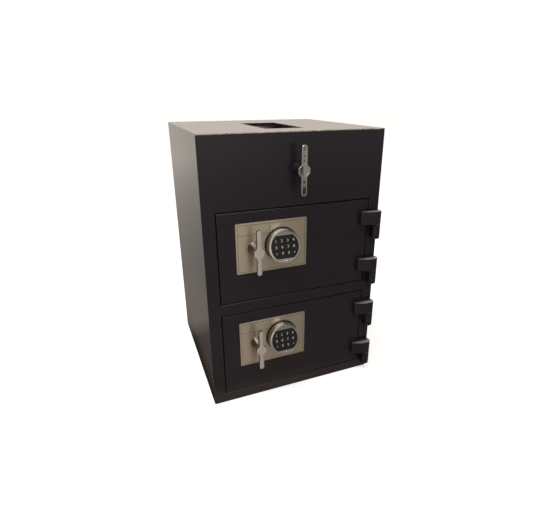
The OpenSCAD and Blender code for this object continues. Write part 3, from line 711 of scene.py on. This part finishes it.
def framed(left, bottom, right, top, corner, y):  # a thin flat frame of two outlines
    wide, foot = lockPlate["lineWide"], lockPlate["front"]
    outer = rounded(left, bottom, right, top, corner, 4)
    inner = rounded(left + wide, bottom + wide, right - wide, top - wide, max(0.01, corner - wide), 4)
    steps = ((outer, foot), (outer, y), (inner, y), (inner, foot))
    return loftRings([[(x, at, z) for x, z in outline] for outline, at in steps], False, False)


def makeLockPlate(side):
    p, low = lockPlate, doorBottom[side]
    edge, front = p["edge"], p["front"]
    rings = []
    for inward, y in ((0, p["back"]), (0, front + edge), (edge * 0.3, front + edge * 0.3), (edge, front)):
        outline = rounded(p["left"] + inward, p["bottom"] + inward, p["right"] - inward, p["top"] - inward,
                          p["corner"] - inward, 8)
        rings.append([(x, y, low + z) for x, z in outline])
    addPiece(side + "_plate", joined(side + "_plate", loftRings(rings)), side + "_door", "brushed_plate",
             replaced=(side + "_lock_plate",))
    left, right = p["left"] + p["lineIn"], p["right"] - p["lineIn"]
    bottom, top = low + p["bottom"] + p["lineIn"], low + p["top"] - p["lineIn"]
    border = framed(left, bottom, right, top, p["lineCorner"], front - p["lineUp"])
    box = framed(left, top - p["boxHigh"], left + p["boxWide"], top, p["boxCorner"], front - p["boxUp"])
    lines = joined(side + "_plate_lines", border, box)
    addPiece(side + "_plate_lines", lines, side + "_door", "brushed_plate", material=etchInk)


def keypadZ(side):
    return doorBottom[side] + keypad["rise"][side]


def faceY(z, midZ):  # the keypad's tilted face at a height
    return keypad["faceY"] + (z - midZ) * keypad["slope"]


def makeHousing(side):
    k, midZ, segments = keypad, keypadZ(side), 144
    lean = math.cos(tilt)

    def ring(radius, drop, seat=None):
        points = []
        for i in range(segments):
            a = math.tau * i / segments
            x, z = radius * math.cos(a), radius * math.sin(a)
            points.append((k["x"] + x, seat if seat is not None else faceY(midZ + z, midZ) + drop, midZ + z))
        return points

    def pocket(drop, wider):  # round, but cut flat at its top and bottom
        points = []
        for i in range(segments):
            a = math.tau * i / segments
            radius, flat = k["padRadius"] + wider, k["padFlat"] + wider
            u, v = radius * math.cos(a), max(-flat, min(flat, radius * math.sin(a))) * lean
            points.append((k["x"] + u, faceY(midZ + v, midZ) + drop, midZ + v))
        return points

    rings = [ring(k["radius"] - k["backEdge"], 0, k["seat"]), ring(k["radius"], 0, k["seat"] - k["backEdge"])]
    rings += [ring(k["radius"] - inward, drop) for inward, drop in k["rim"]]
    inner = k["radius"] - k["rim"][-1][0]
    rings += [ring(inner - further, drop) for further, drop in k["lip"]]
    rings += [pocket(drop, wider) for drop, wider in k["wall"]]
    addPiece(side + "_housing", joined(side + "_housing", loftRings(rings)), side + "_door", "satin_chrome",
             replaced=(side + "_keypad_housing",))


def onFace(side, u, v, out):  # a matrix for something that lies on the tilted face
    place = Vector((keypad["x"], keypad["faceY"], keypadZ(side))) * mm
    turn = Matrix.Rotation(math.pi / 2 - tilt, 4, "X")
    return Matrix.Translation(place) @ turn @ Matrix.Translation(Vector((u, v, out)) * mm)


def makeDigit(side, index, name):
    u, v = (index % 4 - 1.5) * keypad["keyX"], (1 - index // 4) * keypad["keyZ"]
    piece = side + "_mark_" + name
    if name.isdigit():
        words = bpy.data.curves.new(piece, "FONT")
        words.body, words.size = name, marks["digitHigh"] / marks["capShare"] * mm
        words.align_x, words.align_y, words.resolution_u = "CENTER", "CENTER", 3
        words.extrude, words.offset = marks["digitThick"] * mm, marks["digitBold"] * mm
        holder = bpy.data.objects.new(piece, words)
        scene.collection.objects.link(holder)
        mesh = bpy.data.meshes.new_from_object(holder)
        bpy.data.objects.remove(holder)
        tidy(mesh)
    else:
        wide, high = marks[name]
        outline = rounded(-wide, -high, wide, high, marks["dotCorner"], 4)
        mesh = joined(piece, loftRings([[(x, y, z) for x, y in outline] for z in (0, marks["dotThick"])]))
    mesh.transform(onFace(side, u, v, -marks["sunk"]))
    addPiece(piece, mesh, side + "_key_" + name, "key_rubber", material=digitInk)


def makeBadge(side):
    angles = [math.tau * i / 48 for i in range(48)]
    # the dark plate under the pale middle is a painted shadow
    for name, metal in (("_badge", etchInk), ("_badge_top", badgeMetal)):
        (wide, high), rows = badge[name]
        rings = [[((wide - inward) * math.cos(a), (high - inward) * math.sin(a), out) for a in angles]
                 for inward, out in rows]
        mesh = joined(side + name, loftRings(rings))
        mesh.transform(onFace(side, 0, -badge["below"], 0))
        addPiece(side + name, mesh, side + "_door", "satin_chrome", metal)


for side in sides:
    makeLockPlate(side)
    makeHousing(side)
    makeBadge(side)
    softened(side + "_keypad_pad", "keypad_rubber", keypad["padEdge"])
    for index, name in enumerate(keyNames):
        softened(side + "_key_" + name, "key_rubber", keypad["keyEdge"])
        makeDigit(side, index, name)
print("lock plates and keypads made")


insideEdge = 0.4  # mm
insides = {
    "shelf": "inner_paint", "hopper_box": "inner_paint", "hopper_bushes": "bronze",
    "hinge_pins": "bright_steel", "hopper_drum": "inner_paint", "hopper_shaft": "bright_steel",
}
doorInsides = {
    "lock_case": "die_cast", "back_cover": "inner_paint", "screws": "bright_steel", "spindle": "bright_steel",
    "bolt_bar": "bright_steel", "bolts": "chrome", "lock_bolt": "bright_steel",
}
for side in sides:
    insides.update({side + "_" + n: s for n, s in doorInsides.items()})
for node, slot in insides.items():
    softened(node, slot, insideEdge, material=chutePaint if node in ("hopper_drum", "hopper_box") else None)
print("inside made")
